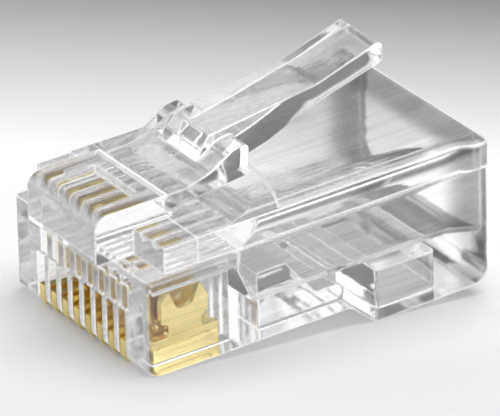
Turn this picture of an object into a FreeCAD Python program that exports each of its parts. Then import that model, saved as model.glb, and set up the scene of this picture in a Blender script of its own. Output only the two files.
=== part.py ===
"""Eight-way modular plug: clear moulded housing, sprung latch, jacket clamp and eight blade contacts.

Everything is drawn in the plug's own frame, in millimetres: x across the plug, y from the nose
face towards the cable end, z up from the underside of the comb, with the latch on top. Each solid
is then moved so that the origin is the middle of the bounding box's base.
"""
import FreeCAD, Part
import math
import os

# --- contacts ----------------------------------------------------------------------------------
COMB_START = 1.00         # front face of the comb and of the side walls
CONTACT_SETBACK = 0.04    # front edge of the blades behind the comb's face
CONTACT_LENGTH = 4.90
CONTACT_LOW = 0.03        # lower edge, just inside the comb
CONTACT_NOSE = 0.42       # round of the blade's lower front corner
CONTACT_BASE = 1.25       # top of the wide base
CRIMP_STROKE = 0.60       # the blades are pressed in this far
TOOTH_PIERCE = 0.02       # crimped, the tooth tips stand this far above the wires' axis
CHANNEL_HEIGHT = 4.30     # the wires' axis above the comb's underside

BLADE_THICKNESS = 0.34
COIN_STEP = 0.06          # the coined base stands out this far on both faces
BEAD_RISE = 0.04          # the guide beads stand out this far from the base
BLADE_CLEARANCE = 0.03    # bead to slot wall

NECK_SETBACK = 1.58       # front of the blade to its neck
NECK_HEEL = 0.53          # rear of the neck to the rear of the blade
TOOTH_REACH = 0.48        # tooth tips stand this far in from the neck's edges
SHOULDER_DROP = 0.80      # tooth tips down to the neck's rear shoulder
FRONT_SHOULDER_RISE = 0.30
VALLEY_WIDTH = 0.84       # floor of the gap between the teeth
VALLEY_DEPTH = 1.10
VALLEY_ROUND = 0.36
NOTCH_REACH = 0.40        # side notches cut this far into the neck
NOTCH_HEIGHT = 0.62
NOTCH_FLARE = 0.12        # the notches' upper edges slope out by this much
NOTCH_ROUND = 0.22
BEAD_SETBACK = 1.26       # front of the blade to its beads
BEAD_HEEL = 0.54          # beads to the rear of the blade
BEAD_HEIGHT = 0.46
BEAD_FLAT = 0.06          # straight stretch at each end of a bead

CONTACT_START = COMB_START + CONTACT_SETBACK
CONTACT_END = CONTACT_START + CONTACT_LENGTH
BASE_THICKNESS = BLADE_THICKNESS + 2 * COIN_STEP
BEAD_THICKNESS = BASE_THICKNESS + 2 * BEAD_RISE
NECK_START = CONTACT_START + NECK_SETBACK
NECK_END = CONTACT_END - NECK_HEEL
TOOTH_HEIGHT = CHANNEL_HEIGHT + TOOTH_PIERCE - CRIMP_STROKE

# --- contact slots and wire channels -----------------------------------------------------------
WAYS = 8
PITCH = 1.02
COMB_LIP = 0.60           # thin front wall of the comb
SLOT_LIP_HEIGHT = 3.00    # the slots show this high at the front
SLOT_SPARE = 0.60         # slot left behind each blade
CHANNEL_OVERLAP = 0.02    # neighbouring channels open into each other by this much each
CHANNEL_SETBACK = 0.75    # comb's face to the channels' front ends
CHANNEL_DOME = 0.80       # spherical radius of those ends
CHANNEL_RUN = 0.66        # channels go on this far behind the slots

SLOT_WIDTH = BEAD_THICKNESS + 2 * BLADE_CLEARANCE
SLOT_END = CONTACT_END + SLOT_SPARE
CHANNEL_RADIUS = PITCH / 2 + CHANNEL_OVERLAP
CHANNEL_END = SLOT_END + CHANNEL_RUN

# --- outer body -------------------------------------------------------------------------------
LENGTH = 21.55            # nose face to cable end
BODY_WIDTH = 11.68        # across the body, below the shelf
SHELF_HEIGHT = 5.39       # underside to the shelf that runs along both sides
SHELF_LEDGE = 0.21        # the block above stands in this far from the sides
SHELF_ROUND = 0.18        # outer edge of the shelf
UPPER_RISE = 1.40         # shelf to the top of the block
UPPER_SETBACK = 1.27      # comb's face to the block's front face
FRONT_RELIEF = 0.04       # the block's front stretch is this much slimmer all round
FRONT_RELIEF_RUN = 1.99
TOE_RADIUS = 0.75         # round between the front face and the underside
FRONT_CORNER = 0.35       # upright front corners, in plan
REAR_CORNER = 0.25        # upright rear corners, in plan

PAD_HEIGHT = 0.12         # raised rear part of the top
PAD_START = 9.05          # its front edge at the sides
PAD_SAG = 1.47            # the edge bows this much further back in the middle
PAD_ROUND = 0.40

CUFF_OVERHANG = 0.20      # at the cable end the block flares out past the sides
CUFF_LENGTH = 1.65        # foot of the flare to the cable end
CUFF_RUN = 0.75           # length of the flare itself
CUFF_CORNER = 0.42

UPPER_WIDTH = BODY_WIDTH - 2 * SHELF_LEDGE
UPPER_HEIGHT = SHELF_HEIGHT + UPPER_RISE
UPPER_START = COMB_START + UPPER_SETBACK
FRONT_RELIEF_END = UPPER_START + FRONT_RELIEF_RUN
CUFF_WIDTH = BODY_WIDTH + 2 * CUFF_OVERHANG
CUFF_START = LENGTH - CUFF_LENGTH

# --- nose block --------------------------------------------------------------------------------
NOSE_WIDTH = 6.00
NOSE_LENGTH = 4.55        # front face to the latch's hinge line
NOSE_RISE = 1.21          # above the block
NOSE_ROUND = 0.75         # top front edge
NOSE_FOOT_ROUND = 0.12    # bottom front edge
NOSE_GROOVE_LENGTH = 3.60
NOSE_GROOVE_WIDTH = 0.42
NOSE_GROOVE_DEPTH = 0.45
NOSE_GROOVE_START = 2.85

NOSE_HEIGHT = UPPER_HEIGHT + NOSE_RISE

# --- latch, measured from its hinge line (run) and from the nose block's top (rise) -------------
RUNNING_CLEARANCE = 0.05  # round a hinge knuckle
PLATE_THICKNESS = 0.90
ROOT_RUN = 0.90           # flat stretch of the plate before it sweeps up
ROOT_ROUND = 1.50
EAR_SWEEP_RUN = 2.35      # where plate and ears part, foot of the lever's front face
EAR_SWEEP_RISE = 0.42
EAR_SWEEP_ROUND = 1.20
EAR_CROWN_RUN = 3.70      # front end of the ears' tops
EAR_CROWN_RISE = 1.23
EAR_CROWN_ROUND = 0.90
EAR_REAR_RUN = 4.65       # locking shoulders
EAR_RISE = 1.33
EAR_DROP = 0.42           # the ears' rear feet hang this far below the nose block's top
EAR_RAKE = 0.12           # the shoulders lean back by this much
EAR_CORNER = 0.30
LEVER_WIDTH = 3.25
LEVER_ROOT = 0.30         # the lever starts this far ahead of its front face, inside the plate
LEVER_ROOT_DROP = 0.10    # and this far below the ears' feet
LEVER_FACE_SINK = 0.05    # its front face starts this far below the plate's top
LEVER_CREST = (3.17, 1.58)
LEVER_CREST_ROUND = 0.12
LEVER_KINK = (9.75, 2.42)
LEVER_KINK_ROUND = 3.00
LEVER_TIP = (13.95, 3.62)
LEVER_TIP_RAKE = 0.35     # the tip's upper edge stands back by this much
LEVER_TIP_ROUND = 0.40
LEVER_TIP_CORNER = 0.60   # in plan
LEVER_TIP_THICKNESS = 1.05
LEVER_LIP_ROUND = 0.35    # the tip's lower edge
LEVER_WAIST = (9.55, 1.32)
LEVER_WAIST_ROUND = 2.50
LEVER_BELLY = (6.80, 0.22)
LEVER_BELLY_ROUND = 1.50
LEVER_HEEL_ROUND = 1.00   # where the underside leaves the ears

# --- cable cavity ------------------------------------------------------------------------------
CAVITY_MARGIN = 0.17      # the row of ways to the cavity's side walls
CAVITY_FLOOR = 1.55
CAVITY_COVER = 0.74       # thickness of its roof
CAVITY_ROUND = 0.70       # long inner corners
RAMP_RUN = 0.70           # the floor climbs over this length to the channels
RAMP_LEAD = 0.25          # and meets them this far inside
RAMP_ROUND = 0.50
ROOF_RUN = 1.40           # the roof falls over this length to the channels
MOUTH_FLARE = 0.35        # the cable end opens out by this much all round
MOUTH_DEPTH = 1.90

CAVITY_WIDTH = WAYS * PITCH + 2 * CAVITY_MARGIN
CAVITY_ROOF = UPPER_HEIGHT - CAVITY_COVER
RAMP_FOOT = CHANNEL_END + RAMP_RUN
ROOF_FOOT = CHANNEL_END + ROOF_RUN

# --- jacket clamp ------------------------------------------------------------------------------
FLOOR_LIP = 0.30          # floor left between the ramp and the clamp's pocket
POCKET_CLEARANCE = 0.10
CLAMP_LENGTH = 4.60       # front face to hinge line
CLAMP_SIDE = 0.35         # clamp to the cavity's side walls
CLAMP_WEB = 0.84          # thickness of the hinged web at its rear
CLAMP_LIFT = 0.08         # its underside sits this far up inside the pocket
CLAMP_TOOTH_RISE = 1.50   # the tooth stands this far above the cavity's floor
CLAMP_TOOTH_LENGTH = 1.75
CLAMP_NECK = 1.15         # hinge line to the foot of the tooth's rear slope
CLAMP_EDGE_ROUND = 0.10
CLAMP_TOOTH_ROUND = 0.15
CLAMP_HEEL_ROUND = 0.40

CLAMP_WIDTH = CAVITY_WIDTH - 2 * CLAMP_SIDE
CLAMP_START = RAMP_FOOT + FLOOR_LIP + POCKET_CLEARANCE
CLAMP_HINGE = CLAMP_START + CLAMP_LENGTH
CLAMP_HINGE_HEIGHT = CLAMP_LIFT + CLAMP_WEB / 2
CLAMP_TOOTH_HEIGHT = CAVITY_FLOOR + CLAMP_TOOTH_RISE

# --- rear step and its coring ------------------------------------------------------------------
STEP_DROP = 1.24          # the cable end hangs this far below the comb's underside
STEP_SETBACK = 0.20       # clamp's hinge line to the top of the step's slope
STEP_RUN = 1.45           # length of that slope
STEP_ROUND = 0.45
HEEL_RADIUS = 1.10        # round between the step's underside and the cable end
CORE_WIDTH = 7.60
CORE_FRONT_WALL = 0.85    # foot of the slope to the coring
CORE_REAR_WALL = 2.55     # coring to the cable end
CORE_COVER = 0.65         # between the coring and the cavity
CORE_ROUND = 0.40

STEP_START = CLAMP_HINGE + STEP_SETBACK
STEP_END = STEP_START + STEP_RUN

OVERSHOOT = 0.5           # cutters run this far past the faces they open


# --- drawing helpers ---------------------------------------------------------------------------
def point(side, u, v):
    """Point on a side view (y, z), a plan (x, y) or an end view (x, z)."""
    places = {"side": (0, u, v), "plan": (u, v, 0), "end": (u, 0, v)}
    return FreeCAD.Vector(*places[side])


def corner_turn(before, corner, after, radius):
    """Start, middle and end of the tangent arc that rounds one corner."""
    to_before = (before - corner).normalize()
    to_after = (after - corner).normalize()
    half = to_before.getAngle(to_after) / 2
    reach = radius / math.tan(half)
    centre_way = (to_before + to_after).normalize()
    middle = corner + centre_way * (radius / math.sin(half) - radius)
    return corner + to_before * reach, middle, corner + to_after * reach


def outline(side, corners):
    """Closed face through (u, v, radius) corners; a radius of 0 leaves the corner sharp."""
    places = [point(side, u, v) for u, v, radius in corners]
    turns = []
    for index, (u, v, radius) in enumerate(corners):
        before = places[index - 1]
        after = places[(index + 1) % len(places)]
        if radius > 0:
            turns.append(corner_turn(before, places[index], after, radius))
        else:
            turns.append((places[index], None, places[index]))
    edges = []
    for index, (start, middle, end) in enumerate(turns):
        if middle is not None:
            edges.append(Part.Arc(start, middle, end).toShape())
        following = turns[(index + 1) % len(turns)][0]
        if end.distanceToPoint(following) > 1e-6:
            edges.append(Part.LineSegment(end, following).toShape())
    return Part.Face(Part.Wire(edges))


def across(corners, width, centre=0.0):
    """Side-view outline extruded across the plug."""
    shape = outline("side", corners).extrude(FreeCAD.Vector(width, 0, 0))
    shape.translate(FreeCAD.Vector(centre - width / 2, 0, 0))
    return shape


def upright(corners, low, high):
    """Plan outline extruded upwards."""
    shape = outline("plan", corners).extrude(FreeCAD.Vector(0, 0, high - low))
    shape.translate(FreeCAD.Vector(0, 0, low))
    return shape


def block(width, start, end, low, high):
    """Box centred on the plug's middle plane."""
    return Part.makeBox(width, end - start, high - low, FreeCAD.Vector(-width / 2, start, low))


def rod(radius, width, y, z):
    """Cylinder lying across the plug."""
    return Part.makeCylinder(radius, width, FreeCAD.Vector(-width / 2, y, z), FreeCAD.Vector(1, 0, 0))


def way_places():
    """Middle of each contact slot across the plug."""
    return [(index - (WAYS - 1) / 2) * PITCH for index in range(WAYS)]


# --- housing -----------------------------------------------------------------------------------
def lower_body():
    """Body below the shelf: rounded toe, flat underside, sloped step and rounded heel."""
    profile = across([
        (COMB_START, 0, TOE_RADIUS),
        (STEP_START, 0, STEP_ROUND),
        (STEP_END, -STEP_DROP, STEP_ROUND),
        (LENGTH, -STEP_DROP, HEEL_RADIUS),
        (LENGTH, SHELF_HEIGHT, 0),
        (COMB_START, SHELF_HEIGHT, 0),
    ], BODY_WIDTH)
    half = BODY_WIDTH / 2
    plan = upright([
        (-half, COMB_START, FRONT_CORNER),
        (half, COMB_START, FRONT_CORNER),
        (half, LENGTH, REAR_CORNER),
        (-half, LENGTH, REAR_CORNER),
    ], -STEP_DROP - OVERSHOOT, SHELF_HEIGHT + OVERSHOOT)
    end = outline("end", [
        (-half, -STEP_DROP - OVERSHOOT, 0),
        (half, -STEP_DROP - OVERSHOOT, 0),
        (half, SHELF_HEIGHT, SHELF_ROUND),
        (-half, SHELF_HEIGHT, SHELF_ROUND),
    ]).extrude(FreeCAD.Vector(0, LENGTH, 0))
    return profile.common(plan).common(end)


def block_plan(start, grow, low, high):
    """Upper block from a given front edge, flared into the cuff at the cable end."""
    half = UPPER_WIDTH / 2 - grow
    cuff = CUFF_WIDTH / 2 - grow
    flared = CUFF_START + CUFF_RUN
    round_off = CUFF_RUN / 2
    return upright([
        (-half, start, 0),
        (half, start, 0),
        (half, CUFF_START, round_off),
        (cuff, flared, round_off),
        (cuff, LENGTH - grow, CUFF_CORNER),
        (-cuff, LENGTH - grow, CUFF_CORNER),
        (-cuff, flared, round_off),
        (-half, CUFF_START, round_off),
    ], low, high)


def upper_body():
    """Block above the shelf, with a slimmer front stretch and a flared cuff behind."""
    front = block(UPPER_WIDTH - 2 * FRONT_RELIEF, UPPER_START, FRONT_RELIEF_END,
                  SHELF_HEIGHT, UPPER_HEIGHT - FRONT_RELIEF)
    return front.fuse(block_plan(FRONT_RELIEF_END, 0, SHELF_HEIGHT, UPPER_HEIGHT))


def rear_pad():
    """Raised part of the top: its front edge bows back, its other edges are rounded."""
    top = UPPER_HEIGHT + PAD_HEIGHT
    pad = block_plan(PAD_START - OVERSHOOT, 0, SHELF_HEIGHT, top)
    rounded = [edge for edge in pad.Edges
               if edge.BoundBox.ZMin > top - 1e-6 and edge.CenterOfMass.y > PAD_START]
    pad = pad.makeFillet(PAD_ROUND, rounded)
    half_chord = UPPER_WIDTH / 2
    bow_radius = (half_chord ** 2 + PAD_SAG ** 2) / (2 * PAD_SAG)
    centre = FreeCAD.Vector(0, PAD_START + PAD_SAG - bow_radius, SHELF_HEIGHT - OVERSHOOT)
    return pad.cut(Part.makeCylinder(bow_radius, UPPER_HEIGHT, centre))


def nose_block():
    """Proud block at the front that carries the latch's root."""
    return across([
        (0, SHELF_HEIGHT, NOSE_FOOT_ROUND),
        (NOSE_LENGTH, SHELF_HEIGHT, 0),
        (NOSE_LENGTH, NOSE_HEIGHT, 0),
        (0, NOSE_HEIGHT, NOSE_ROUND),
    ], NOSE_WIDTH)


def latch_hinge_height():
    """Height of the latch's hinge line, at mid-thickness of its plate."""
    return NOSE_HEIGHT - PLATE_THICKNESS / 2


def latch_seat():
    """Half-round seat behind the nose block, open to the rear, for the latch's root."""
    radius = PLATE_THICKNESS / 2 + RUNNING_CLEARANCE
    return rod(radius, NOSE_WIDTH + 2 * OVERSHOOT, NOSE_LENGTH, latch_hinge_height())


def nose_groove():
    """Shallow cross groove on top of the nose block."""
    return block(NOSE_GROOVE_LENGTH, NOSE_GROOVE_START, NOSE_GROOVE_START + NOSE_GROOVE_WIDTH,
                 NOSE_HEIGHT - NOSE_GROOVE_DEPTH, NOSE_HEIGHT + OVERSHOOT)


def wire_channel(x):
    """Round channel for one conductor, with a shallow domed front end."""
    start = COMB_START + CHANNEL_SETBACK
    barrel = Part.makeCylinder(CHANNEL_RADIUS, CHANNEL_END + OVERSHOOT - start,
                               FreeCAD.Vector(x, start, CHANNEL_HEIGHT), FreeCAD.Vector(0, 1, 0))
    dome_centre = FreeCAD.Vector(x, start + CHANNEL_DOME, CHANNEL_HEIGHT)
    behind_dome = block(BODY_WIDTH, start + CHANNEL_DOME, CHANNEL_END + 2 * OVERSHOOT, 0, UPPER_HEIGHT)
    return barrel.common(Part.makeSphere(CHANNEL_DOME, dome_centre).fuse(behind_dome))


def contact_slot(x):
    """Slot for one blade, open below and at the front, and open above into its wire channel."""
    lip = Part.makeBox(SLOT_WIDTH, SLOT_END - COMB_START + OVERSHOOT, SLOT_LIP_HEIGHT + OVERSHOOT,
                       FreeCAD.Vector(x - SLOT_WIDTH / 2, COMB_START - OVERSHOOT, -OVERSHOOT))
    inner_start = COMB_START + COMB_LIP
    well = Part.makeBox(SLOT_WIDTH, SLOT_END - inner_start, CHANNEL_HEIGHT + OVERSHOOT,
                        FreeCAD.Vector(x - SLOT_WIDTH / 2, inner_start, -OVERSHOOT))
    return lip.fuse(well)


def cable_cavity():
    """Room for the cable: ramps up to the channels in front and flares at the cable end."""
    channel_floor = CHANNEL_HEIGHT - CHANNEL_RADIUS
    channel_roof = CHANNEL_HEIGHT + CHANNEL_RADIUS
    side = across([
        (CHANNEL_END - RAMP_LEAD, channel_floor, 0),
        (RAMP_FOOT, CAVITY_FLOOR, RAMP_ROUND),
        (LENGTH + OVERSHOOT, CAVITY_FLOOR, 0),
        (LENGTH + OVERSHOOT, CAVITY_ROOF, 0),
        (ROOF_FOOT, CAVITY_ROOF, RAMP_ROUND),
        (CHANNEL_END, channel_roof, 0),
    ], CAVITY_WIDTH)
    half = CAVITY_WIDTH / 2
    end = outline("end", [
        (-half, CAVITY_FLOOR, CAVITY_ROUND),
        (half, CAVITY_FLOOR, CAVITY_ROUND),
        (half, CAVITY_ROOF, CAVITY_ROUND),
        (-half, CAVITY_ROOF, CAVITY_ROUND),
    ]).extrude(FreeCAD.Vector(0, LENGTH + OVERSHOOT, 0))
    return side.common(end).fuse(cavity_mouth())


def cavity_mouth():
    """Flared lead-in at the cable end."""
    past_end = MOUTH_FLARE * (MOUTH_DEPTH + OVERSHOOT) / MOUTH_DEPTH
    rims = []
    for y, grow in ((LENGTH - MOUTH_DEPTH, 0.0), (LENGTH + OVERSHOOT, past_end)):
        half = CAVITY_WIDTH / 2 + grow
        face = outline("end", [
            (-half, CAVITY_FLOOR - grow, CAVITY_ROUND),
            (half, CAVITY_FLOOR - grow, CAVITY_ROUND),
            (half, CAVITY_ROOF + grow, CAVITY_ROUND),
            (-half, CAVITY_ROOF + grow, CAVITY_ROUND),
        ])
        rim = face.OuterWire
        rim.translate(FreeCAD.Vector(0, y, 0))
        rims.append(rim)
    return Part.makeLoft(rims, True, True)


def clamp_pocket():
    """Window in the floor for the jacket clamp, with the half-round seat of its hinge."""
    width = CLAMP_WIDTH + 2 * POCKET_CLEARANCE
    window = block(width, CLAMP_START - POCKET_CLEARANCE, CLAMP_HINGE, -OVERSHOOT,
                   CAVITY_FLOOR + OVERSHOOT)
    seat = rod(CLAMP_WEB / 2 + RUNNING_CLEARANCE, width, CLAMP_HINGE, CLAMP_HINGE_HEIGHT)
    throat = block(width, CLAMP_HINGE - OVERSHOOT, CLAMP_HINGE + CLAMP_WEB / 2, -OVERSHOOT,
                   CLAMP_HINGE_HEIGHT)
    return window.fuse([seat, throat])


def step_coring():
    """Blind recess under the thick rear step."""
    half = CORE_WIDTH / 2
    start = STEP_END + CORE_FRONT_WALL
    end = LENGTH - CORE_REAR_WALL
    return upright([
        (-half, start, CORE_ROUND),
        (half, start, CORE_ROUND),
        (half, end, CORE_ROUND),
        (-half, end, CORE_ROUND),
    ], -STEP_DROP - OVERSHOOT, CAVITY_FLOOR - CORE_COVER)


def make_housing():
    """The one-piece clear moulding."""
    body = lower_body().fuse([upper_body(), rear_pad(), nose_block()])
    cutters = [latch_seat(), nose_groove(), cable_cavity(), clamp_pocket(), step_coring()]
    for x in way_places():
        cutters.append(wire_channel(x))
        cutters.append(contact_slot(x))
    return body.cut(cutters).removeSplitter()


# --- latch -------------------------------------------------------------------------------------
def latch_place(run, rise):
    """Side-view place of a point given from the hinge line and from the nose block's top."""
    return NOSE_LENGTH + run, NOSE_HEIGHT + rise


def latch_plate():
    """Thin plate that sweeps up into the two locking ears."""
    rear, ear_top = latch_place(EAR_REAR_RUN, EAR_RISE)
    part, swept = latch_place(EAR_SWEEP_RUN, EAR_SWEEP_RISE)
    plate = across([
        (NOSE_LENGTH, NOSE_HEIGHT - PLATE_THICKNESS, 0),
        (rear - EAR_RAKE, NOSE_HEIGHT - EAR_DROP, EAR_CORNER),
        (rear, ear_top, EAR_CORNER),
        (*latch_place(EAR_CROWN_RUN, EAR_CROWN_RISE), EAR_CROWN_ROUND),
        (part, swept, EAR_SWEEP_ROUND),
        (NOSE_LENGTH + ROOT_RUN, NOSE_HEIGHT, ROOT_ROUND),
        (NOSE_LENGTH, NOSE_HEIGHT, 0),
    ], NOSE_WIDTH)
    return plate.cut(block(LEVER_WIDTH, part, rear + OVERSHOOT, swept, ear_top + OVERSHOOT))


def latch_lever():
    """Finger lever: steep front face, long flat top, kinked and rounded free end."""
    face, swept = latch_place(EAR_SWEEP_RUN, EAR_SWEEP_RISE)
    ear_foot = NOSE_HEIGHT - EAR_DROP
    tip, tip_top = latch_place(*LEVER_TIP)
    lever = across([
        (face - LEVER_ROOT, ear_foot - LEVER_ROOT_DROP, 0),
        (NOSE_LENGTH + EAR_REAR_RUN - EAR_RAKE, ear_foot, LEVER_HEEL_ROUND),
        (*latch_place(*LEVER_BELLY), LEVER_BELLY_ROUND),
        (*latch_place(*LEVER_WAIST), LEVER_WAIST_ROUND),
        (tip, tip_top - LEVER_TIP_THICKNESS, LEVER_LIP_ROUND),
        (tip - LEVER_TIP_RAKE, tip_top, LEVER_TIP_ROUND),
        (*latch_place(*LEVER_KINK), LEVER_KINK_ROUND),
        (*latch_place(*LEVER_CREST), LEVER_CREST_ROUND),
        (face, swept - LEVER_FACE_SINK, 0),
    ], LEVER_WIDTH)
    half = LEVER_WIDTH / 2
    plan = upright([
        (-half, face - OVERSHOOT, 0),
        (half, face - OVERSHOOT, 0),
        (half, tip, LEVER_TIP_CORNER),
        (-half, tip, LEVER_TIP_CORNER),
    ], 0, tip_top + OVERSHOOT)
    return lever.common(plan)


def make_latch():
    """Latch in one piece, with a round knuckle where the real root is thin enough to bend."""
    knuckle = rod(PLATE_THICKNESS / 2, NOSE_WIDTH, NOSE_LENGTH, latch_hinge_height())
    return latch_plate().fuse([latch_lever(), knuckle]).removeSplitter()


# --- jacket clamp ------------------------------------------------------------------------------
def make_clamp():
    """Bar that the crimping tool swings up against the cable's jacket."""
    web_top = CLAMP_LIFT + CLAMP_WEB
    bar = across([
        (CLAMP_START, CLAMP_LIFT, CLAMP_EDGE_ROUND),
        (CLAMP_HINGE, CLAMP_LIFT, 0),
        (CLAMP_HINGE, web_top, 0),
        (CLAMP_HINGE - CLAMP_NECK, web_top, CLAMP_HEEL_ROUND),
        (CLAMP_START + CLAMP_TOOTH_LENGTH, CLAMP_TOOTH_HEIGHT, CLAMP_TOOTH_ROUND),
        (CLAMP_START, CLAMP_TOOTH_HEIGHT, CLAMP_TOOTH_ROUND),
    ], CLAMP_WIDTH)
    knuckle = rod(CLAMP_WEB / 2, CLAMP_WIDTH, CLAMP_HINGE, CLAMP_HINGE_HEIGHT)
    return bar.fuse(knuckle).removeSplitter()


# --- contacts ----------------------------------------------------------------------------------
def blade():
    """Stamped blade: wide base, notched neck and two piercing teeth."""
    middle = (NECK_START + NECK_END) / 2
    notch_top = CONTACT_BASE + NOTCH_HEIGHT
    shoulder = TOOTH_HEIGHT - SHOULDER_DROP
    valley = TOOTH_HEIGHT - VALLEY_DEPTH
    return across([
        (CONTACT_START, CONTACT_LOW, CONTACT_NOSE),
        (CONTACT_END, CONTACT_LOW, 0),
        (CONTACT_END, CONTACT_BASE, 0),
        (NECK_END - NOTCH_REACH, CONTACT_BASE, NOTCH_ROUND),
        (NECK_END - NOTCH_REACH, notch_top, NOTCH_ROUND),
        (NECK_END, notch_top + NOTCH_FLARE, 0),
        (NECK_END, shoulder, 0),
        (NECK_END - TOOTH_REACH, TOOTH_HEIGHT, 0),
        (middle + VALLEY_WIDTH / 2, valley, VALLEY_ROUND),
        (middle - VALLEY_WIDTH / 2, valley, VALLEY_ROUND),
        (NECK_START + TOOTH_REACH, TOOTH_HEIGHT, 0),
        (NECK_START, shoulder + FRONT_SHOULDER_RISE, 0),
        (NECK_START, notch_top + NOTCH_FLARE, 0),
        (NECK_START + NOTCH_REACH, notch_top, NOTCH_ROUND),
        (NECK_START + NOTCH_REACH, CONTACT_BASE, NOTCH_ROUND),
        (CONTACT_START, CONTACT_BASE, 0),
    ], BLADE_THICKNESS)


def coined_base():
    """Thicker foot of the blade, standing out from both faces."""
    return across([
        (CONTACT_START, CONTACT_LOW, CONTACT_NOSE),
        (CONTACT_END, CONTACT_LOW, 0),
        (CONTACT_END, CONTACT_BASE, 0),
        (CONTACT_START, CONTACT_BASE, 0),
    ], BASE_THICKNESS)


def coined_bead():
    """Long round-ended bead on both faces of the foot."""
    low = (CONTACT_LOW + CONTACT_BASE - BEAD_HEIGHT) / 2
    high = low + BEAD_HEIGHT
    start = CONTACT_START + BEAD_SETBACK
    end = CONTACT_END - BEAD_HEEL
    radius = (BEAD_HEIGHT - BEAD_FLAT) / 2
    return across([
        (start, low, radius),
        (end, low, radius),
        (end, high, radius),
        (start, high, radius),
    ], BEAD_THICKNESS)


def make_contact(x):
    """One gold-plated blade contact, before crimping."""
    shape = blade().fuse([coined_base(), coined_bead()]).removeSplitter()
    shape.translate(FreeCAD.Vector(x, 0, 0))
    return shape


# --- export ------------------------------------------------------------------------------------
def save(name, shape):
    """Move one solid to the part's origin and write it."""
    shape.translate(FreeCAD.Vector(0, -LENGTH / 2, STEP_DROP))
    shape.exportStep("parts/" + name + ".step")
    print(name, "solids", len(shape.Solids), "valid", shape.isValid(), "volume", round(shape.Volume, 3))


def main():
    os.makedirs("parts", exist_ok=True)
    save("housing", make_housing())
    save("latch", make_latch())
    save("jacket_clamp", make_clamp())
    for index, x in enumerate(way_places()):
        save("contact_" + str(index + 1), make_contact(x))


main()
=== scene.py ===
"""Dresses the modular plug: one clear moulding, gold-plated blades and a pale studio."""
import math

import bmesh
import bpy
from mathutils import Matrix, Vector
from mathutils.bvhtree import BVHTree


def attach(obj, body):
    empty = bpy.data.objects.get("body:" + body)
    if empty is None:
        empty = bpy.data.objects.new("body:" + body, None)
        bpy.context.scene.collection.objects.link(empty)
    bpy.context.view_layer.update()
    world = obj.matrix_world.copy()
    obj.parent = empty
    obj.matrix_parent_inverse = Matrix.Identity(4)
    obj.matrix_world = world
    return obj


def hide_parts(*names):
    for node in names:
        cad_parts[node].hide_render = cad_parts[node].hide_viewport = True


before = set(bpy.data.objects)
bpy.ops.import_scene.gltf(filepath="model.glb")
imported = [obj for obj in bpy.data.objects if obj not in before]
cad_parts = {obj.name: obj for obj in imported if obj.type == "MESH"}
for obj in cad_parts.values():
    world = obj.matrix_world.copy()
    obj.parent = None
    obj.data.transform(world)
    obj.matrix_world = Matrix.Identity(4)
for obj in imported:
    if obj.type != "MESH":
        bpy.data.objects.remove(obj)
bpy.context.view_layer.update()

bl_info = {
    "name": "Clear modular plug",
    "version": (1, 0, 0),
    "blender": (4, 5, 0),
    "location": "View3D > Sidebar > Plug",
    "description": "Clear moulding, plated contacts and studio for an eight-way modular plug",
    "category": "Object",
}

MM = 0.001
CONTACTS = sorted(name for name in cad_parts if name.startswith("contact_"))
SHARP_EDGE = math.radians(32)     # edges that turn by more than this are sharp
FLAT = math.radians(0.3)          # faces that turn by less than this lie in one plane

# Sizes on the copies, which are in millimetres while they are worked on.
MERGE_REACH = 0.0001              # points this close are one point
TINY_AREA = 1e-6                  # faces smaller than this aren't tested

# Fitting of the rounds. STRAY and REACH are shares of a round's width.
STRAY = 0.6                       # how far a point may leave the surface
REACH = 1.6                       # how near to a fault an edge gives way
ATTEMPTS = 14
HALVINGS = 2                      # attempts that halve a round before the next ones drop it
HALF_ROUND = 0.5
FLAT_AGREE = 0.4                  # least cosine between a flat face and the surface under it
ROUND_AGREE = -0.2                # the same for the faces of a round
ROUND_SLOT = 1                    # material slot that tells the faces of a round apart
ROUND_SEGMENTS = 2
NEAREST_NORMAL, NEAREST_DISTANCE = 1, 3    # places in what find_nearest returns
AREA_WEIGHT = 100                 # how strongly large faces set the smoothed normals

# Finding the table under the resting plug.
ON_TABLE = 0.01 * MM              # points lower than this touch the table
TOE_REACH = 1.0 * MM              # the toe is at least this far in front of the step

# Colour sockets of the Mix node.
COLOUR_A, COLOUR_B, COLOUR_OUT = 6, 7, 2

# Masks in the clear plastic: where each ramp starts and ends, in metres.
# The comb's moulded inside.
COMB_X = (4.2 * MM, 4.3 * MM)
COMB_FRONT = (-9.2 * MM, -9.0 * MM)
COMB_BACK = (-2.6 * MM, -2.4 * MM)
COMB_FLOOR = (3.9 * MM, 4.6 * MM)
COMB_ROOF = (6.3 * MM, 6.4 * MM)

# The cable end, rougher and with a darker tint, and a fainter roughening and darkening on top of
# the pad.
REAR_HAZE = (8.0 * MM, 9.4 * MM)
PAD_HAZE_Y = (-1.0 * MM, 8.0 * MM)
PAD_HAZE_Z = (6.0 * MM, 7.4 * MM)
PAD_HAZE = 0.25                   # share of the rear's haze
HAZE_TOP = (8.2 * MM, 8.6 * MM)   # the lever above this stays clear
REAR_SOFT = (4.0 * MM, 9.0 * MM)  # edges grow softer along this stretch

# Soft edges: the rim is the gained turn of the normal, through a ramp.
SOFT_SAMPLES = 6
RIM_GAIN = 8.0
RIM_RAMP = (0.1, 0.8)

# Grains: stretch along x, y and z, detail and offset.
DRAWN_LINES = ((9000, 160, 9000), 3.0, (0, 0, 0))
SLOW_WAVES = ((1400, 90, 1400), 2.0, (3, 1, 2))
FLOW_CLOUDS = ((420, 150, 420), 2.0, (7, 5, 1))
FINE_THREADS = ((5200, 110, 5200), 2.0, (1, 8, 3))
ROLLED_LINES = ((3000, 1200, 12000), 3.0, (0, 0, 0))
THIN_PATCHES = ((700, 700, 700), 2.0, (2, 4, 6))
TABLE_FIBRE = ((2600, 2600, 2600), 3.0, (0, 0, 0))

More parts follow.
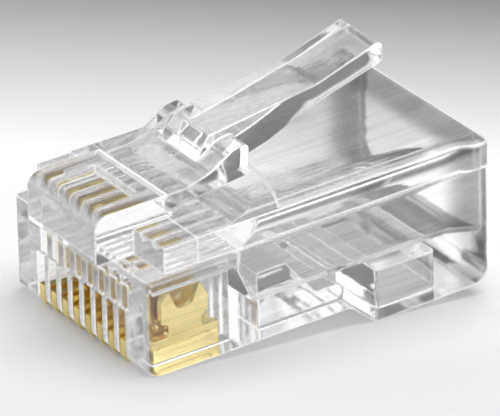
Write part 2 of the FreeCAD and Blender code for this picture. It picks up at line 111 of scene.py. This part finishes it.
# Where on a grain's value each effect starts and is full.
STREAK_RAMP = (0.35, 0.7)
THREAD_RAMP = (0.45, 0.68)
PATCH_RAMP = (0.45, 0.75)
SPECK_RAMP = (0.3, 0.7)
PATCH_DEPTH = 0.45
SPECK_DEPTH = 0.03

# Bumps: strength and depth in metres.
MOULDING_BUMP = (0.4, 0.02 * MM)
PLATING_BUMP = (0.35, 0.01 * MM)
TABLE_BUMP = (0.05, 0.01 * MM)

SPECK_COLOUR = (0.6, 0.6, 0.6)
TABLE_ROUGHNESS = 0.5
TABLE_GRAIN_ROUGHNESS = 0.15
TABLE_SPECULAR = 0.25
TABLE_SIZE = 1.2                  # metres
CEILING_RAMP = (0.18, 0.42)       # sines of the heights between horizon and ceiling

# Name, place in metres, size in metres, power in watts.
LAMPS = (
    ("softbox_above", (0.0, 0.07, 0.34), 0.32, 1.03),
    ("softbox_left", (-0.25, -0.28, 0.16), 0.30, 0.32),
    ("softbox_right", (0.30, 0.06, 0.14), 0.22, 0.26),
)
VIEW_AZIMUTH = math.radians(56.088)
VIEW_ELEVATION = math.radians(28.179)
VIEW_ROLL = math.radians(-1.51)
VIEW_TARGET = Vector((1.698, -0.761, 6.109)) * MM
CLIP_START = 0.01                 # metres
CLEAR_BOUNCES = 40                # light crosses many faces of the clear pieces
GLOSSY_BOUNCES = 16


# --- settings ----------------------------------------------------------------------------------
class MouldingSettings(bpy.types.PropertyGroup):
    """Clear plastic and edges of the housing, latch and jacket clamp."""

    tint: bpy.props.FloatVectorProperty(
        name="Tint", description="Colour of light that has passed through the plastic",
        subtype="COLOR", size=3, min=0, max=1, default=(0.992, 0.994, 0.997))
    ior: bpy.props.FloatProperty(
        name="Refractive index", description="How strongly the plastic bends light",
        default=1.53, min=1.0, max=2.0)
    gloss: bpy.props.FloatProperty(
        name="Roughness", description="Lowest roughness, on polished tool faces",
        default=0.01, min=0, max=1, subtype="FACTOR")
    line_gloss: bpy.props.FloatProperty(
        name="Line roughness", description="Roughness that the drawn lines add",
        default=0.05, min=0, max=1, subtype="FACTOR")
    line_depth: bpy.props.FloatProperty(
        name="Line depth", description="Height of the drawn lines against the slow waves",
        default=0.25, min=0, max=1, subtype="FACTOR")
    comb_gloss: bpy.props.FloatProperty(
        name="Comb roughness", description="Roughness of the tool texture inside the comb",
        default=0.25, min=0, max=1, subtype="FACTOR")
    streak_tint: bpy.props.FloatVectorProperty(
        name="Streak tint", description="Tint in the flow streaks",
        subtype="COLOR", size=3, min=0, max=1, default=(0.965, 0.968, 0.972))
    rear_tint: bpy.props.FloatVectorProperty(
        name="Rear tint", description="Tint of the hazier cable end",
        subtype="COLOR", size=3, min=0, max=1, default=(0.38, 0.382, 0.385))
    rear_streak: bpy.props.FloatVectorProperty(
        name="Rear streaks", description="Tint in the streaks of the cable end",
        subtype="COLOR", size=3, min=0, max=1, default=(0.27, 0.272, 0.275))
    rear_gloss: bpy.props.FloatProperty(
        name="Rear roughness", description="Roughness added towards the cable end",
        default=0.06, min=0, max=1, subtype="FACTOR")
    thread_tint: bpy.props.FloatVectorProperty(
        name="Thread tint", description="Tint in the fine threads",
        subtype="COLOR", size=3, min=0, max=1, default=(0.55, 0.553, 0.557))
    thread_depth: bpy.props.FloatProperty(
        name="Thread depth", description="Strength of the fine grey threads along the plug",
        default=0.34, min=0, max=1, subtype="FACTOR")
    round_gloss: bpy.props.FloatProperty(
        name="Round roughness", description="Roughness of the small rounds",
        default=0.25, min=0, max=1, subtype="FACTOR")
    # Painted highlight: the rounds emit this colour as a glow, though they are no lamp.
    painted_rim_highlight: bpy.props.FloatVectorProperty(
        name="Painted rim highlight", description="Light that the edges scatter",
        subtype="COLOR", size=3, min=0, max=1, default=(0.5, 0.5, 0.504))
    rear_soft: bpy.props.FloatProperty(
        name="Rear softness", description="Added to the edge softness at the cable end",
        default=0.2 * MM, min=0, max=0.001, unit="LENGTH", precision=5)
    edge_round: bpy.props.FloatProperty(
        name="Edge round", description="Width of the round that the moulding's edges are given",
        default=0.06 * MM, min=0, max=0.001, unit="LENGTH", precision=5)
    edge_soft: bpy.props.FloatProperty(
        name="Edge softness", description="Width over which light turns at the edges",
        default=0.15 * MM, min=0, max=0.001, unit="LENGTH", precision=5)


class PlatingSettings(bpy.types.PropertyGroup):
    """Gold plating and edges of the contacts."""

    colour: bpy.props.FloatVectorProperty(
        name="Gold", description="Colour of the plating where it is clean",
        subtype="COLOR", size=3, min=0, max=1, default=(1.0, 0.84, 0.36))
    worn_colour: bpy.props.FloatVectorProperty(
        name="Thin gold", description="Colour where the plating is thin",
        subtype="COLOR", size=3, min=0, max=1, default=(0.90, 0.68, 0.24))
    # Painted shade: the stamped edges are darkened into dark outlines.
    painted_edge_shade: bpy.props.FloatVectorProperty(
        name="Painted edge shade", description="Colour of the stamped edges",
        subtype="COLOR", size=3, min=0, max=1, default=(0.46, 0.30, 0.07))
    gloss: bpy.props.FloatProperty(
        name="Roughness", description="Lowest roughness of the plating",
        default=0.08, min=0, max=1, subtype="FACTOR")
    grain_gloss: bpy.props.FloatProperty(
        name="Grain roughness", description="Roughness that the rolled grain adds",
        default=0.18, min=0, max=1, subtype="FACTOR")
    edge_round: bpy.props.FloatProperty(
        name="Edge round", description="Width of the round that the stamped edges are given",
        default=0.015 * MM, min=0, max=0.001, unit="LENGTH", precision=5)
    edge_soft: bpy.props.FloatProperty(
        name="Edge softness", description="Width over which light turns at the stamped edges",
        default=0.06 * MM, min=0, max=0.001, unit="LENGTH", precision=5)


class StageSettings(bpy.types.PropertyGroup):
    """Floor, lamps and camera."""

    floor_colour: bpy.props.FloatVectorProperty(
        name="Floor", description="Colour of the floor near the plug",
        subtype="COLOR", size=3, min=0, max=1, default=(0.86, 0.86, 0.865))
    near_colour: bpy.props.FloatVectorProperty(
        name="Near floor", description="Colour of the floor in front of the plug",
        subtype="COLOR", size=3, min=0, max=1, default=(0.72, 0.72, 0.725))
    near_start: bpy.props.FloatProperty(
        name="Near start", description="Where the floor is in its near colour",
        default=-8 * MM, unit="LENGTH")
    near_end: bpy.props.FloatProperty(
        name="Near end", description="Where the floor has reached its full white",
        default=4 * MM, unit="LENGTH")
    # Painted shade: the floor turns grey well behind the plug, where light falls off.
    far_painted_shade: bpy.props.FloatVectorProperty(
        name="Far floor", description="Colour of the floor well behind the plug",
        subtype="COLOR", size=3, min=0, max=1, default=(0.20, 0.197, 0.198))
    fade_start: bpy.props.FloatProperty(
        name="Fade start", description="Distance at which the floor starts to turn grey",
        default=16 * MM, min=0, unit="LENGTH")
    fade_end: bpy.props.FloatProperty(
        name="Fade end", description="Distance at which the floor is fully grey",
        default=39 * MM, min=0, unit="LENGTH")
    horizon: bpy.props.FloatVectorProperty(
        name="Horizon", description="Light from near the horizon",
        subtype="COLOR", size=3, min=0, max=1, default=(0.60, 0.60, 0.61))
    ceiling: bpy.props.FloatVectorProperty(
        name="Ceiling", description="Light from high up, between the lamps",
        subtype="COLOR", size=3, min=0, max=1, default=(0.20, 0.20, 0.205))
    lift: bpy.props.FloatProperty(
        name="Lift", description="White that the floor shows without lighting the plug",
        default=0.2, min=0, max=1, subtype="FACTOR")
    clear_lift: bpy.props.FloatProperty(
        name="Clear lift", description="White that the floor adds where plastic is looked through",
        default=0.1, min=0, max=1, subtype="FACTOR")
    lens: bpy.props.FloatProperty(
        name="Lens", description="Focal length on a 36 mm sensor", default=622.0, min=20)
    distance: bpy.props.FloatProperty(
        name="Distance", description="Camera to the point it looks at",
        default=426.7 * MM, min=0.01, unit="LENGTH")


# --- mesh helpers ------------------------------------------------------------------------------
def deselect_all():
    """Leaves edit mode and selects nothing."""
    if bpy.context.object and bpy.context.object.mode != "OBJECT":
        bpy.ops.object.mode_set(mode="OBJECT")
    bpy.ops.object.select_all(action="DESELECT")


def take_copy(node, name):
    """Selected copy of a CAD node, with its points merged, in millimetres."""
    deselect_all()
    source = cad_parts[node]
    piece = bpy.data.objects.new(name, source.data.copy())
    piece.data.transform(Matrix.Scale(1 / MM, 4))
    bpy.context.scene.collection.objects.link(piece)
    piece.select_set(True)
    bpy.context.view_layer.objects.active = piece
    bpy.ops.mesh.customdata_custom_splitnormals_clear()
    bpy.ops.object.mode_set(mode="EDIT")
    bpy.ops.mesh.select_all(action="SELECT")
    bpy.ops.mesh.remove_doubles(threshold=MERGE_REACH)
    bpy.ops.object.mode_set(mode="OBJECT")
    return piece


def flat_regions(mesh):
    """Groups of touching faces that lie in one plane."""
    left = set(mesh.faces)
    while left:
        region = [left.pop()]
        for face in region:
            for other in {other for edge in face.edges for other in edge.link_faces}:
                if other in left and other.normal.angle(face.normal, math.pi) < FLAT:
                    left.discard(other)
                    region.append(other)
        yield region


def has_one_outline(region):
    """True where the region's border is one closed line that doesn't touch itself."""
    faces = set(region)
    border = {edge for face in region for edge in face.edges
              if sum(other in faces for other in edge.link_faces) == 1}
    left = set(border)
    line = [left.pop()]
    for edge in line:
        for vertex in edge.verts:
            meeting = [other for other in vertex.link_edges if other in border]
            if len(meeting) != 2:
                return False
            for other in meeting:
                if other in left:
                    left.discard(other)
                    line.append(other)
    return not left


def join_flats(mesh):
    """Makes one face of each flat region that has one outline."""
    for region in list(flat_regions(mesh)):
        if len(region) > 1 and has_one_outline(region):
            faces = set(region)
            inner = {edge for face in region for edge in face.edges
                     if all(other in faces for other in edge.link_faces)}
            bmesh.ops.dissolve_edges(mesh, edges=list(inner), use_verts=False)


def mark_edges(mesh):
    """Marks the sharp edges for rounding; returns the index and both ends of each."""
    share = mesh.edges.layers.float.new("bevel_weight_edge")
    marked = []
    for edge in mesh.edges:
        if edge.is_manifold and edge.calc_face_angle(0) > SHARP_EDGE:
            edge[share] = 1.0
            marked.append((edge.index, edge.verts[0].co.copy(), edge.verts[1].co.copy()))
    return marked


def find_faults(piece, surface, width):
    """Points of the rounded piece where it folds or leaves the surface it had before."""
    shown = piece.evaluated_get(bpy.context.evaluated_depsgraph_get())
    mesh = shown.to_mesh()
    mesh.calc_loop_triangles()
    points = [vertex.co.copy() for vertex in mesh.vertices]
    found = [point for point in points
             if surface.find_nearest(point)[NEAREST_DISTANCE] > STRAY * width]
    for triangle in mesh.loop_triangles:
        if triangle.area < TINY_AREA:
            continue
        corners = [points[index] for index in triangle.vertices]
        normal = (corners[1] - corners[0]).cross(corners[2] - corners[0]).normalized()
        middle = sum(corners, Vector()) / 3
        under = surface.find_nearest(middle)[NEAREST_NORMAL]
        on_round = mesh.polygons[triangle.polygon_index].material_index == ROUND_SLOT
        if under.dot(normal) < (ROUND_AGREE if on_round else FLAT_AGREE):
            found.extend(corners)
    shown.to_mesh_clear()
    return found


def is_near(point, start, end, reach):
    """True where the point is within reach of the line from start to end."""
    along = end - start
    share = (point - start).dot(along) / along.length_squared
    return (start + along * min(max(share, 0), 1) - point).length < reach


def round_edges(piece, width):
    """Rounds the sharp edges in geometry; edges without room get a narrower round or none."""
    width = width / MM
    mesh = bmesh.new()
    mesh.from_mesh(piece.data)
    surface = BVHTree.FromBMesh(mesh)
    join_flats(mesh)
    mesh.edges.index_update()
    marked = mark_edges(mesh)
    mesh.to_mesh(piece.data)
    mesh.free()
    piece.data.materials.clear()
    for slot in range(ROUND_SLOT + 1):
        piece.data.materials.append(None)
    modifier = piece.modifiers.new("round", "BEVEL")
    modifier.width = width
    modifier.segments = ROUND_SEGMENTS
    modifier.limit_method = "WEIGHT"
    modifier.use_clamp_overlap = False
    modifier.material = ROUND_SLOT
    share = piece.data.attributes["bevel_weight_edge"].data
    for attempt in range(ATTEMPTS):
        found = find_faults(piece, surface, width)
        giving_way = [index for index, start, end in marked if share[index].value > 0
                      and any(is_near(point, start, end, REACH * width) for point in found)]
        if not giving_way:
            break
        for index in giving_way:
            halve = attempt < HALVINGS and share[index].value == 1
            share[index].value = HALF_ROUND if halve else 0
        piece.data.update()
    bpy.ops.object.modifier_apply(modifier=modifier.name)


def smooth(piece):
    """Smooths the shading up to the sharp edges and returns to metres."""
    bpy.ops.object.shade_smooth_by_angle(angle=SHARP_EDGE)
    modifier = piece.modifiers.new("smooth", "WEIGHTED_NORMAL")
    modifier.weight = AREA_WEIGHT
    modifier.keep_sharp = True
    bpy.ops.object.modifier_apply(modifier=modifier.name)
    piece.data.transform(Matrix.Scale(MM, 4))


def dress(piece, material, node):
    """Gives the piece its finish and puts it in its CAD node's place."""
    piece.data.materials.clear()
    piece.data.materials.append(material)
    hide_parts(node)
    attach(piece, node)


# --- materials ---------------------------------------------------------------------------------
def add_node(tree, kind, operation=None, **values):
    """New node with its operation and its input values."""
    node = tree.nodes.new("ShaderNode" + kind)
    if operation:
        node.operation = operation
    for name, value in values.items():
        node.inputs[name.replace("_", " ")].default_value = value
    return node


def math_node(tree, operation, *parts):
    """Math node whose inputs are numbers or output sockets."""
    node = add_node(tree, "Math", operation)
    for place, part in zip(node.inputs, parts):
        if isinstance(part, (int, float)):
            place.default_value = part
        else:
            tree.links.new(part, place)
    return node.outputs["Value"]


def ramp(tree, value, low, high):
    """Smooth step from 0 at low to 1 at high."""
    node = add_node(tree, "MapRange")
    node.interpolation_type = "SMOOTHSTEP"
    node.inputs["From Min"].default_value = low
    node.inputs["From Max"].default_value = high
    tree.links.new(value, node.inputs["Value"])
    return node.outputs["Result"]


def mix_colour(tree, factor, first, second):
    """Colour between two colours or colour sockets."""
    node = add_node(tree, "Mix")
    node.data_type = "RGBA"
    tree.links.new(factor, node.inputs["Factor"])
    for place, colour in ((node.inputs[COLOUR_A], first), (node.inputs[COLOUR_B], second)):
        if hasattr(colour, "links"):
            tree.links.new(colour, place)
        else:
            place.default_value = (*colour, 1)
    return node.outputs[COLOUR_OUT]


def new_group(name, inputs, outputs):
    """Empty node group with these sockets, and its input and output nodes."""
    group = bpy.data.node_groups.new(name, "ShaderNodeTree")
    for in_out, sockets in (("INPUT", inputs), ("OUTPUT", outputs)):
        for label, kind in sockets:
            group.interface.new_socket(label, in_out=in_out, socket_type="NodeSocket" + kind)
    return group, group.nodes.new("NodeGroupInput"), group.nodes.new("NodeGroupOutput")


def fill_outputs(group, target, **values):
    """Joins each value to the group output of its name."""
    for name, value in values.items():
        group.links.new(value, target.inputs[name])


def place_group(tree, name, build, **values):
    """Places a shared node group, which its first user builds, with its own values."""
    node = add_node(tree, "Group")
    node.node_tree = bpy.data.node_groups.get(name) or build(name)
    for label, value in values.items():
        node.inputs[label].default_value = value
    return node


def grain_group(name):
    """Node group: noise drawn out by its own stretch along each axis."""
    group, source, target = new_group(
        name, (("Vector", "Vector"), ("Stretch", "Vector"), ("Offset", "Vector"),
               ("Detail", "Float")), (("Grain", "Float"),))
    place = add_node(group, "Mapping")
    node = add_node(group, "TexNoise", Scale=1.0)
    group.links.new(source.outputs["Vector"], place.inputs["Vector"])
    group.links.new(source.outputs["Stretch"], place.inputs["Scale"])
    group.links.new(source.outputs["Offset"], place.inputs["Location"])
    group.links.new(source.outputs["Detail"], node.inputs["Detail"])
    group.links.new(place.outputs["Vector"], node.inputs["Vector"])
    group.links.new(node.outputs["Fac"], target.inputs["Grain"])
    return group


def grain(tree, vector, stretch, detail, offset):
    """Shared grain, drawn out along the three axes."""
    node = place_group(tree, "drawn_grain", grain_group,
                       Stretch=stretch, Offset=offset, Detail=detail)
    tree.links.new(vector, node.inputs["Vector"])
    return node.outputs["Grain"]


def edge_group(name):
    """Node group: normal that turns smoothly over each edge, and a mask of where it turns."""
    group, source, target = new_group(
        name, (("Width", "Float"),), (("Normal", "Vector"), ("Rim", "Float")))
    soft = add_node(group, "Bevel")
    soft.samples = SOFT_SAMPLES
    true = add_node(group, "NewGeometry")
    facing = add_node(group, "VectorMath", "DOT_PRODUCT")
    group.links.new(source.outputs["Width"], soft.inputs["Radius"])
    group.links.new(soft.outputs["Normal"], facing.inputs[0])
    group.links.new(true.outputs["Normal"], facing.inputs[1])
    turned = math_node(group, "SUBTRACT", 1.0, facing.outputs["Value"])
    rim = ramp(group, math_node(group, "MULTIPLY", turned, RIM_GAIN), *RIM_RAMP)
    group.links.new(soft.outputs["Normal"], target.inputs["Normal"])
    group.links.new(rim, target.inputs["Rim"])
    return group


def within(tree, value, rise, fall):
    """1 between the two ramps, 0 outside them."""
    return math_node(tree, "MULTIPLY", ramp(tree, value, *rise), below(tree, value, fall))


def below(tree, value, fall):
    """1 below the ramp, 0 above it."""
    return math_node(tree, "SUBTRACT", 1.0, ramp(tree, value, *fall))


def moulding_group(settings):
    """Node group: drawn lines, slow waves, tool texture in the comb and a painted highlight on the
    rounds.
    """
    group, source, target = new_group(
        "moulding_finish_and_rim_highlight", (("Vector", "Vector"), ("Rim", "Float")),
        (("Color", "Color"), ("Roughness", "Float"), ("Height", "Float"), ("Glow", "Color")))
    vector, rim = source.outputs["Vector"], source.outputs["Rim"]
    fine = grain(group, vector, *DRAWN_LINES)
    broad = grain(group, vector, *SLOW_WAVES)
    cloud = grain(group, vector, *FLOW_CLOUDS)
    threads = grain(group, vector, *FINE_THREADS)
    split = add_node(group, "SeparateXYZ")
    group.links.new(vector, split.inputs["Vector"])
    x, y, z = split.outputs
    height = math_node(group, "MULTIPLY_ADD", fine, settings.line_depth, broad)

    in_comb = math_node(group, "MULTIPLY", within(group, y, COMB_FRONT, COMB_BACK),
                        within(group, z, COMB_FLOOR, COMB_ROOF))
    in_comb = math_node(group, "MULTIPLY", in_comb,
                        below(group, math_node(group, "ABSOLUTE", x), COMB_X))
    on_pad = math_node(group, "MULTIPLY", ramp(group, y, *PAD_HAZE_Y), ramp(group, z, *PAD_HAZE_Z))
    haze = math_node(group, "MAXIMUM", math_node(group, "MULTIPLY", on_pad, PAD_HAZE),
                     ramp(group, y, *REAR_HAZE))
    haze = math_node(group, "MULTIPLY", haze, below(group, z, HAZE_TOP))

    rough = math_node(group, "MULTIPLY_ADD", fine, settings.line_gloss, settings.gloss)
    for mask, least in ((rim, settings.round_gloss), (in_comb, settings.comb_gloss)):
        rough = math_node(group, "MAXIMUM", rough, math_node(group, "MULTIPLY", mask, least))
    rough = math_node(group, "MULTIPLY_ADD", haze, settings.rear_gloss, rough)

    streaks = ramp(group, cloud, *STREAK_RAMP)
    clear = mix_colour(group, streaks, settings.tint, settings.streak_tint)
    hazed = mix_colour(group, streaks, settings.rear_tint, settings.rear_streak)
    # The plastic is tinted darker towards the cable end and faintly on top of the pad.
    colour = mix_colour(group, haze, clear, hazed)
    threads = math_node(group, "MULTIPLY", ramp(group, threads, *THREAD_RAMP),
                        settings.thread_depth)
    colour = mix_colour(group, threads, colour, settings.thread_tint)
    # Painted highlight: the rounds are whitened and glow by emission.
    colour = mix_colour(group, rim, colour, (1, 1, 1))
    painted_highlight = mix_colour(group, rim, (0, 0, 0), settings.painted_rim_highlight)
    fill_outputs(group, target, Color=colour, Roughness=rough, Height=height, Glow=painted_highlight)
    return group


def new_material(name):
    """New material, its tree, its shader and the object's own coordinates."""
    material = bpy.data.materials.new(name)
    material.use_nodes = True
    tree = material.node_tree
    where = add_node(tree, "TexCoord")
    return material, tree, tree.nodes["Principled BSDF"], where.outputs["Object"]


def finish_shader(tree, shader, vector, group, strength, depth, edges=None):
    """Places a finish and joins its colour, roughness and bump to the shader."""
    finish = add_node(tree, "Group")
    finish.node_tree = group
    bump = add_node(tree, "Bump", Strength=strength, Distance=depth)
    tree.links.new(vector, finish.inputs["Vector"])
    if edges:
        tree.links.new(edges.outputs["Rim"], finish.inputs["Rim"])
        tree.links.new(edges.outputs["Normal"], bump.inputs["Normal"])
    tree.links.new(finish.outputs["Color"], shader.inputs["Base Color"])
    tree.links.new(finish.outputs["Roughness"], shader.inputs["Roughness"])
    tree.links.new(finish.outputs["Height"], bump.inputs["Height"])
    tree.links.new(bump.outputs["Normal"], shader.inputs["Normal"])
    return finish


def clear_plastic(settings):
    """Clear polycarbonate with its moulding finish and a painted highlight on the rounds, shared
    by the clear pieces.
    """
    name = "clear_moulding"
    if name in bpy.data.materials:
        return bpy.data.materials[name]
    material, tree, shader, vector = new_material(name)
    shader.inputs["Transmission Weight"].default_value = 1.0
    shader.inputs["IOR"].default_value = settings.ior
    # Emission carries the painted highlight on the rounds.
    shader.inputs["Emission Strength"].default_value = 1.0
    split = add_node(tree, "SeparateXYZ")
    tree.links.new(vector, split.inputs["Vector"])
    width = math_node(tree, "MULTIPLY_ADD", ramp(tree, split.outputs["Y"], *REAR_SOFT),
                      settings.rear_soft, settings.edge_soft)
    edges = place_group(tree, "soft_edges", edge_group)
    tree.links.new(width, edges.inputs["Width"])
    finish = finish_shader(tree, shader, vector, moulding_group(settings), *MOULDING_BUMP, edges)
    tree.links.new(finish.outputs["Glow"], shader.inputs["Emission Color"])
    return material


def plating_group(settings):
    """Node group: gold that thins in patches over a rolled grain, with painted shade on the
    rounds.
    """
    group, source, target = new_group(
        "plating_finish_and_edge_shade", (("Vector", "Vector"), ("Rim", "Float")),
        (("Color", "Color"), ("Roughness", "Float"), ("Height", "Float")))
    vector, rim = source.outputs["Vector"], source.outputs["Rim"]
    rolled = grain(group, vector, *ROLLED_LINES)
    patch = grain(group, vector, *THIN_PATCHES)
    worn = math_node(group, "MULTIPLY", ramp(group, patch, *PATCH_RAMP), PATCH_DEPTH)
    colour = mix_colour(group, worn, settings.colour, settings.worn_colour)
    # Painted shade: the rounds are darkened.
    colour = mix_colour(group, rim, colour, settings.painted_edge_shade)
    rough = math_node(group, "MULTIPLY_ADD", rolled, settings.grain_gloss, settings.gloss)
    height = math_node(group, "ADD", rolled, patch)
    fill_outputs(group, target, Color=colour, Roughness=rough, Height=height)
    return group


def gold_plating(settings):
    """Gold plate on stamped copper alloy, with painted shade on the stamped edges."""
    material, tree, shader, vector = new_material("gold_plating")
    shader.inputs["Metallic"].default_value = 1.0
    edges = place_group(tree, "soft_edges", edge_group, Width=settings.edge_soft)
    finish_shader(tree, shader, vector, plating_group(settings), *PLATING_BUMP, edges)
    return material


def table_group(settings):
    """Node group: white table that greys towards the viewer and, as painted shade where light
    falls off, away from it, finely grained.
    """
    group, source, target = new_group(
        "table_finish_and_falloff_shade", (("Vector", "Vector"),),
        (("Color", "Color"), ("Roughness", "Float"), ("Height", "Float")))
    vector = source.outputs["Vector"]
    away = add_node(group, "VectorMath", "DOT_PRODUCT")
    away.inputs[1].default_value = (-math.sin(VIEW_AZIMUTH), math.cos(VIEW_AZIMUTH), 0)
    group.links.new(vector, away.inputs[0])
    fade = add_node(group, "MapRange", From_Min=settings.fade_start, From_Max=settings.fade_end)
    group.links.new(away.outputs["Value"], fade.inputs["Value"])
    near = add_node(group, "MapRange", From_Min=settings.near_start, From_Max=settings.near_end)
    group.links.new(away.outputs["Value"], near.inputs["Value"])
    fibre = grain(group, vector, *TABLE_FIBRE)
    specks = math_node(group, "MULTIPLY", ramp(group, fibre, *SPECK_RAMP), SPECK_DEPTH)
    colour = mix_colour(group, near.outputs["Result"], settings.near_colour, settings.floor_colour)
    # Painted shade: grey well behind the plug, where light falls off.
    colour = mix_colour(group, fade.outputs["Result"], colour, settings.far_painted_shade)
    colour = mix_colour(group, specks, colour, SPECK_COLOUR)
    rough = math_node(group, "MULTIPLY_ADD", fibre, TABLE_GRAIN_ROUGHNESS, TABLE_ROUGHNESS)
    fill_outputs(group, target, Color=colour, Roughness=rough, Height=fibre)
    return group


def pale_floor(settings):
    """Table that shows white to the eye, in gloss and through the plastic."""
    material, tree, shader, vector = new_material("pale_floor")
    shader.inputs["Specular IOR Level"].default_value = TABLE_SPECULAR
    path = add_node(tree, "LightPath")
    shown = math_node(tree, "MAXIMUM", path.outputs["Is Camera Ray"],
                      path.outputs["Is Glossy Ray"])
    shown = math_node(tree, "MAXIMUM", shown, path.outputs["Is Transmission Ray"])
    clear_lift = math_node(tree, "MULTIPLY", path.outputs["Is Transmission Ray"],
                           settings.clear_lift)
    lift = math_node(tree, "MULTIPLY_ADD", shown, settings.lift, clear_lift)
    tree.links.new(lift, shader.inputs["Emission Strength"])
    finish = finish_shader(tree, shader, vector, table_group(settings), *TABLE_BUMP)
    tree.links.new(finish.outputs["Color"], shader.inputs["Emission Color"])
    return material


def studio_world(settings):
    """Studio that is light near the horizon and darker higher up."""
    world = bpy.data.worlds.new("studio")
    world.use_nodes = True
    tree = world.node_tree
    where = add_node(tree, "TexCoord")
    split = add_node(tree, "SeparateXYZ")
    tree.links.new(where.outputs["Generated"], split.inputs["Vector"])
    height = math_node(tree, "ABSOLUTE", split.outputs["Z"])
    dark = ramp(tree, height, *CEILING_RAMP)
    colour = mix_colour(tree, dark, settings.horizon, settings.ceiling)
    tree.links.new(colour, tree.nodes["Background"].inputs["Color"])
    return world


# --- operators ---------------------------------------------------------------------------------
def mould(settings, node, name):
    """Rounds one clear moulding's edges and dresses it in clear plastic."""
    piece = take_copy(node, name)
    round_edges(piece, settings.edge_round)
    smooth(piece)
    dress(piece, clear_plastic(settings), node)


class PLUG_OT_mould_housing(bpy.types.Operator):
    """Rounds the housing's edges and makes it clear"""

    bl_idname = "plug.mould_housing"
    bl_label = "Mould the housing"

    def execute(self, context):
        mould(context.scene.plug_moulding, "housing", "clear_housing")
        return {"FINISHED"}


class PLUG_OT_mould_latch(bpy.types.Operator):
    """Rounds the latch's edges and makes it clear"""

    bl_idname = "plug.mould_latch"
    bl_label = "Mould the latch"

    def execute(self, context):
        mould(context.scene.plug_moulding, "latch", "clear_latch")
        return {"FINISHED"}


class PLUG_OT_mould_clamp(bpy.types.Operator):
    """Rounds the jacket clamp's edges and makes it clear"""

    bl_idname = "plug.mould_clamp"
    bl_label = "Mould the jacket clamp"

    def execute(self, context):
        mould(context.scene.plug_moulding, "jacket_clamp", "clear_clamp")
        return {"FINISHED"}


class PLUG_OT_plate_contacts(bpy.types.Operator):
    """Rounds the stamped edges of the contacts and plates them"""

    bl_idname = "plug.plate_contacts"
    bl_label = "Plate the contacts"

    def execute(self, context):
        settings = context.scene.plug_plating
        gold = gold_plating(settings)
        for node in CONTACTS:
            piece = take_copy(node, "gold_" + node)
            round_edges(piece, settings.edge_round)
            smooth(piece)
            dress(piece, gold, node)
        return {"FINISHED"}


def rest_plane():
    """Where the rear step touches the table, and the angle from there to the front toe."""
    points = [vertex.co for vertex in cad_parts["housing"].data.vertices]
    step = min((p for p in points if p.z < ON_TABLE), key=lambda p: p.y)
    toe = min((p for p in points if p.y < step.y - TOE_REACH),
              key=lambda p: (p.z - step.z) / (step.y - p.y))
    return step.copy(), math.atan2(toe.z - step.z, step.y - toe.y)


class PLUG_OT_set_stage(bpy.types.Operator):
    """Lays the pale floor under the resting plug and sets the lamps and the camera"""

    bl_idname = "plug.set_stage"
    bl_label = "Set the stage"

    def execute(self, context):
        settings = context.scene.plug_stage
        self.lay_floor(settings)
        self.hang_lamps(settings)
        self.place_camera(context, settings)
        return {"FINISHED"}

    def lay_floor(self, settings):
        deselect_all()
        step, lean = rest_plane()
        bpy.ops.mesh.primitive_plane_add(size=TABLE_SIZE, location=(0, 0, 0))
        floor = bpy.context.object
        floor.name = "floor"
        floor.data.transform(Matrix.Translation(step) @ Matrix.Rotation(-lean, 4, "X"))
        floor.data.materials.append(pale_floor(settings))

    def hang_lamps(self, settings):
        bpy.context.scene.world = studio_world(settings)
        for name, place, size, power in LAMPS:
            lamp = bpy.data.lights.new(name, "AREA")
            lamp.size = size
            lamp.energy = power
            holder = bpy.data.objects.new(name, lamp)
            holder.location = place
            holder.rotation_euler = Vector(place).to_track_quat("Z", "Y").to_euler()
            bpy.context.scene.collection.objects.link(holder)

    def place_camera(self, context, settings):
        turn = (Matrix.Rotation(VIEW_AZIMUTH, 4, "Z")
                @ Matrix.Rotation(math.pi / 2 - VIEW_ELEVATION, 4, "X")
                @ Matrix.Rotation(VIEW_ROLL, 4, "Z"))
        back = turn.to_3x3() @ Vector((0, 0, 1))
        camera = bpy.data.cameras.new("camera")
        camera.lens = settings.lens
        camera.clip_start = CLIP_START
        holder = bpy.data.objects.new("camera", camera)
        place = VIEW_TARGET + back * settings.distance
        holder.matrix_world = Matrix.Translation(place) @ turn
        context.scene.collection.objects.link(holder)
        context.scene.camera = holder
        context.scene.view_settings.view_transform = "Standard"
        context.scene.cycles.max_bounces = CLEAR_BOUNCES
        context.scene.cycles.transmission_bounces = CLEAR_BOUNCES
        context.scene.cycles.glossy_bounces = GLOSSY_BOUNCES


class PLUG_PT_sidebar(bpy.types.Panel):
    """Buttons that make the plug's pieces and its stage, in order"""

    bl_idname = "PLUG_PT_sidebar"
    bl_label = "Modular plug"
    bl_space_type = "VIEW_3D"
    bl_region_type = "UI"
    bl_category = "Plug"

    def draw(self, context):
        for operator in OPERATORS:
            self.layout.operator(operator.bl_idname)


SETTINGS = {"plug_moulding": MouldingSettings, "plug_plating": PlatingSettings,
            "plug_stage": StageSettings}
OPERATORS = (PLUG_OT_mould_housing, PLUG_OT_mould_latch, PLUG_OT_mould_clamp,
             PLUG_OT_plate_contacts, PLUG_OT_set_stage)


def register():
    for item in (*SETTINGS.values(), *OPERATORS, PLUG_PT_sidebar):
        bpy.utils.register_class(item)
    for name, group in SETTINGS.items():
        setattr(bpy.types.Scene, name, bpy.props.PointerProperty(type=group))


def unregister():
    for name in SETTINGS:
        delattr(bpy.types.Scene, name)
    for item in reversed((*SETTINGS.values(), *OPERATORS, PLUG_PT_sidebar)):
        bpy.utils.unregister_class(item)


def main():
    register()
    bpy.ops.plug.mould_housing()
    bpy.ops.plug.mould_latch()
    bpy.ops.plug.mould_clamp()
    bpy.ops.plug.plate_contacts()
    bpy.ops.plug.set_stage()


if __name__ == "__main__":
    main()
